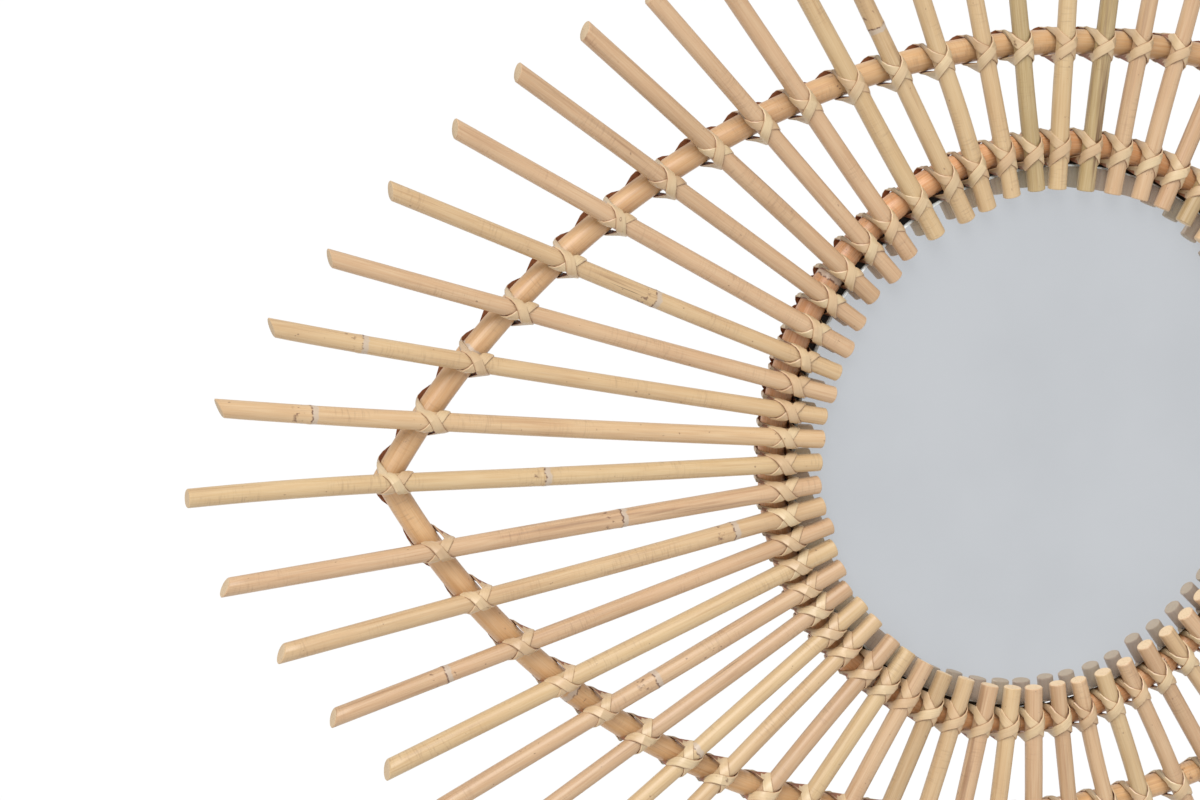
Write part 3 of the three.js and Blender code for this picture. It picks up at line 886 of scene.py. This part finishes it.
def strapKnots(tie, over, chance):
    # control points of one strap, from behind the clockwise gap to behind the other gap
    sway = chance.gauss(0, caneShape["sway"])
    spread = caneShape["spread"] * chance.uniform(*caneShape["spreadRange"])
    behind = math.pi / 2
    halves = []
    for side in (-1, 1):   # clockwise, then counter-clockwise
        pole, angle, middle = tie["poles"][side], tie["angles"][side], tie["middles"][side]
        # out is 1 where the strap comes down on the pole's outer side
        out = -side if over else side
        across = caneShape["footAcross" if out < 0 else "outerAcross"]
        reach = spread * caneShape["innerShare" if out < 0 else "outerShare"]
        feet = caneShape["innerFoot"] if out < 0 else caneShape["outerFoot" if over else "looseFoot"]
        foot = angle + side * across / pole["radius"]
        lift = caneShape["poleLift"] + (0 if over else caneShape["thickness"])
        half = [onPole(pole, middle, behind, lift, behind)]
        for turn, share, lift, facing, width in feet[::-1]:
            if out < 0:
                turn, facing = 180 - turn, 180 - facing
            turn, facing = math.radians(turn), math.radians(facing)
            half.append(onPole(pole, foot + (middle - foot) * share, turn, lift, facing, width))
        for turn in (caneShape["sideTurn"],) + caneShape["topTurns"]:
            raised = min(max((caneShape["riseFrom"] - turn) / caneShape["riseOver"], 0), 1)
            lift = -caneShape["sink"] + (caneShape["thickness"] * raised if over else 0)
            along = out * reach * turn / caneShape["sideTurn"] + sway
            half.append(onStick(tie["origin"], tie["stick"], along, side * math.radians(turn), lift))
        halves.append(half)
    return halves[0] + halves[1][::-1]


def curveThrough(knots, pieces):
    # Catmull-Rom through the knots, with pieces[i] steps after knot i
    points = []
    for i, count in enumerate(pieces):
        around = [knots[min(max(i + j, 0), len(knots) - 1)] for j in (-1, 0, 1, 2)]
        for step in range(count):
            t = step / count
            weights = (
                (-t + 2 * t ** 2 - t ** 3) / 2, (2 - 5 * t ** 2 + 3 * t ** 3) / 2,
                (t + 4 * t ** 2 - 3 * t ** 3) / 2, (-t ** 2 + t ** 3) / 2)
            place = sum((knot[0] * w for knot, w in zip(around, weights)), Vector())
            away = sum((knot[1] * w for knot, w in zip(around, weights)), Vector())
            width = sum(knot[2] * w for knot, w in zip(around, weights))
            points.append((place, away.normalized(), width))
    points.append(knots[-1])
    return points


def strapStations(points):
    stations, distance = [], 0.0
    for i, (place, away, width) in enumerate(points):
        before, after = points[max(i - 1, 0)][0], points[min(i + 1, len(points) - 1)][0]
        along = (after - before).normalized()
        widthAxis = away.cross(along).normalized()
        normal = along.cross(widthAxis)
        if i:
            distance += (place - points[i - 1][0]).length
        stations.append((placeMatrix(place, widthAxis, normal, width), distance))
    return stations


def addStrap(bm, tie, over):
    chance = random.Random(caneShape["seed"] + tie["seed"] * 2 + over)
    knots = strapKnots(tie, over, chance)
    # the two stretches behind the pole at each end take two steps, the others one
    pieces = [2, 2] + [1] * (len(knots) - 5) + [2, 2]
    stations = strapStations(curveThrough(knots, pieces))
    plain, scarred = caneShape["scarring"]
    tone = Vector((chance.random(), chance.uniform(*caneShape["brightness"]),
                   scarred if chance.random() < caneShape["scarChance"] else plain))
    grainShift = caneShape["grainStep"] * tie["seed"] + caneShape["overGrain"] * over
    sweep(bm, caneOutline(), stations, tone, (), grainShift)


def makeLashings(name, members, originKey, poleKeys, seed):
    # members are stick numbers in clockwise order; poleKeys gives the poles on each side of one
    ties = []
    for index in members:
        stick = sticks[index]
        keys = poleKeys(index)
        origin = stick[originKey]
        tie = {"stick": stick, "origin": origin, "seed": seed + index,
               "poles": {}, "angles": {}, "middles": {}}
        for side in (-1, 1):
            other = sticks[(index - side) % stickCount][originKey]
            pole = poles[keys[side]]
            angle = poleAngle(pole, origin)
            tie["poles"][side] = pole
            tie["angles"][side] = angle
            tie["middles"][side] = (angle + nearAngle(angle, poleAngle(pole, other))) / 2
        ties.append(tie)
    bm = newMesh()
    for tie in ties:
        addStrap(bm, tie, False)
        addStrap(bm, tie, True)
    finishPiece(name, bm, [cane])


def ringKeys(index):
    return {-1: "ring", 1: "ring"}


def bowKeys(index):
    # clockwise of the left tip lies the upper bow, and of the right tip the lower one
    if index == 0:
        return {-1: "upper", 1: "lower"}
    if index == fan["gapsAbove"]:
        return {-1: "lower", 1: "upper"}
    key = "upper" if index < fan["gapsAbove"] else "lower"
    return {-1: key, 1: key}


makeLashings("hoop_lashings", range(stickCount), "ringPoint", ringKeys, 0)
firstBelow = fan["gapsAbove"] + 1
makeLashings("upper_bow_lashings", range(firstBelow), "bowPoint", bowKeys, 200)
makeLashings("lower_bow_lashings", range(firstBelow, stickCount), "bowPoint", bowKeys, 200)
print("lashings made")


# Glass, board and hanger

glassShape = {"radius": 122.5, "front": 20.2, "thickness": 2.6, "sides": 160, "edge": 0.7}
boardShape = {
    "rim": 128,              # radius behind the hoop
    "plug": 121.5,           # radius inside it
    "back": 2.9,
    "shoulder": 6.9,
    "top": 17.5,
    "sides": 128,
    "edge": 0.6,
}
screwShape = {"apart": 37, "head": 2.6, "height": 1.5, "seat": 1.4}


def facingDisc(bm, radius, back, front, sides):
    # a closed disc whose axis points at the viewer
    middle = toFrame(Vector((0, 0)), (front + back) / 2)
    matrix = Matrix.Translation(middle) @ Matrix.Rotation(math.pi / 2, 4, "X")
    bmesh.ops.create_cone(
        bm, cap_ends=True, segments=sides, radius1=radius * mm, radius2=radius * mm,
        depth=(front - back) * mm, matrix=matrix)


def makeGlass():
    bm = newMesh()
    front = glassShape["front"]
    facingDisc(bm, glassShape["radius"], front - glassShape["thickness"], front, glassShape["sides"])
    # only the two flat faces have more than four corners
    rims = [edge for edge in bm.edges if any(len(face.verts) > 4 for face in edge.link_faces)]
    bmesh.ops.bevel(bm, geom=rims, offset=glassShape["edge"] * mm, segments=1, profile=0.5,
                    affect="EDGES", material=-1)
    for face in bm.faces:
        flat = len(face.verts) > 4
        face.material_index = 0 if flat else 1
        face.smooth = not flat
    finishPiece("mirror_glass_disc", bm, [silver, glassEdge], ["mirror_glass"],
                sharpAngle=15)


def makeBoard():
    bm = newMesh()
    shape = boardShape
    facingDisc(bm, shape["rim"], shape["back"], shape["shoulder"], shape["sides"])
    front = max(bm.faces, key=lambda face: -face.calc_center_median().y)
    bmesh.ops.inset_individual(bm, faces=[front], thickness=(shape["rim"] - shape["plug"]) * mm, depth=0)
    raised = bmesh.ops.extrude_face_region(bm, geom=[front])["geom"]
    verts = [item for item in raised if isinstance(item, bmesh.types.BMVert)]
    bmesh.ops.delete(bm, geom=[front], context="FACES_ONLY")
    bmesh.ops.translate(bm, vec=(0, (shape["shoulder"] - shape["top"]) * mm, 0), verts=verts)
    # the rims lie level and bend by a right angle
    rims = [edge for edge in bm.edges if edge.is_manifold and edge.calc_face_angle() > 1
            and abs(edge.verts[0].co.y - edge.verts[1].co.y) < 1e-6]
    bmesh.ops.bevel(bm, geom=rims, offset=shape["edge"] * mm, segments=2, profile=0.5,
                    affect="EDGES", material=-1)
    for face in bm.faces:
        face.smooth = abs(face.normal.y) < 0.99
    finishPiece("backing_board_disc", bm, [stain], ["backing_board"], sharpAngle=30)


def makeScrews():
    # two small pan heads hold the hanger's tabs
    bm = newMesh()
    for side in (-1, 1):
        centre = Vector((side * screwShape["apart"] / 2, -screwShape["seat"], 0)) * mm
        matrix = Matrix.Translation(centre) @ Matrix.Rotation(math.pi / 2, 4, "X")
        bmesh.ops.create_uvsphere(
            bm, u_segments=24, v_segments=12, radius=screwShape["head"] * mm,
            matrix=matrix @ Matrix.Diagonal((1, 1, screwShape["height"] / screwShape["head"], 1)))
    for face in bm.faces:
        face.smooth = True
    finishPiece("hanger_screws", bm, [zinc], sharpAngle=60)


makeGlass()
makeBoard()
makeScrews()
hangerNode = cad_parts["sawtooth_hanger"]
hangerNode.data.materials.clear()
hangerNode.data.materials.append(zinc)
print("glass, board and hanger made")


# Floor, light and camera

stageLook = {
    "floorDrop": 1.45,       # below the hanging point, as for a mirror at eye height
    "floorSize": 80.0,
    "floorTones": ("#dcdcdc", "#dadada"),
    "worldLight": 0.82,
    "sunLight": 2.7,
    "sunFrom": (-0.5, -0.75, 0.9),
    "sunWidth": 40,          # degrees, as a large soft box
    "glassReturn": 0.12,     # watts
    "returnInset": 1,        # millimetres from the glass's rim to this light's rim
    "returnAhead": 0.3,      # and from the glass's face to the light
}
cameraSet = {
    "place": (-0.7526, -1.3495, 0.2389),
    "turn": (77.986, -1.632, -21.748),
    "lens": 105,
    "sensor": 36,
    "farthest": 200,
}


def floorMaterial():
    # Plain matt studio floor, pale grey, with a paper grain of about 1 mm
    material, tree, shader = newMaterial("studioFloor")
    grain = spread(tree, stretched(tree, objectPlace(tree), (900, 900, 900), 2, 0.3), 0.3, 0.7)
    bright, dull = [colour(code) for code in stageLook["floorTones"]]
    fillSockets(tree, shader, {"Base Color": blendColour(tree, grain, bright, dull), "Roughness": 0.9})
    return material


def addLight(name, kind, energy, facing):
    light = bpy.data.lights.new(name, kind)
    light.energy = energy
    lamp = bpy.data.objects.new(name, light)
    lamp.rotation_euler = facing.to_track_quat("-Z", "Y").to_euler()
    bpy.context.scene.collection.objects.link(lamp)
    return lamp


def makeStage():
    bm = bmesh.new()
    bmesh.ops.create_grid(bm, x_segments=2, y_segments=2, size=stageLook["floorSize"] / 2,
                          matrix=Matrix.Translation((0, 0, -stageLook["floorDrop"])))
    mesh = bpy.data.meshes.new("floor")
    bm.to_mesh(mesh)
    bm.free()
    mesh.materials.append(floorMaterial())
    floor = bpy.data.objects.new("floor", mesh)
    bpy.context.scene.collection.objects.link(floor)

    world = bpy.data.worlds.new("studio")
    world.use_nodes = True
    fillSockets(world.node_tree, world.node_tree.nodes["Background"], {
        0: (1.0, 1.0, 1.0, 1.0), 1: stageLook["worldLight"]})
    bpy.context.scene.world = world

    sun = addLight("softKey", "SUN", stageLook["sunLight"], -Vector(stageLook["sunFrom"]))
    sun.data.angle = math.radians(stageLook["sunWidth"])
    # the light that the glass throws back under the sticks, which the renderer leaves out
    thrown = addLight("glassReturn", "AREA", stageLook["glassReturn"], towardsViewer)
    thrown.data.shape = "DISK"
    thrown.data.size = 2 * (glassShape["radius"] - stageLook["returnInset"]) * mm
    thrown.location = toFrame(Vector((0, 0)), glassShape["front"] + stageLook["returnAhead"])
    thrown.visible_camera = thrown.visible_glossy = False


def makeCamera():
    data = bpy.data.cameras.new("camera")
    data.lens = cameraSet["lens"]
    data.sensor_width = cameraSet["sensor"]
    data.clip_end = cameraSet["farthest"]
    camera = bpy.data.objects.new("camera", data)
    camera.location = cameraSet["place"]
    camera.rotation_euler = [math.radians(angle) for angle in cameraSet["turn"]]
    bpy.context.scene.collection.objects.link(camera)
    bpy.context.scene.camera = camera


makeStage()
makeCamera()
bpy.context.scene.view_settings.view_transform = "Standard"
print("floor, light and camera made")
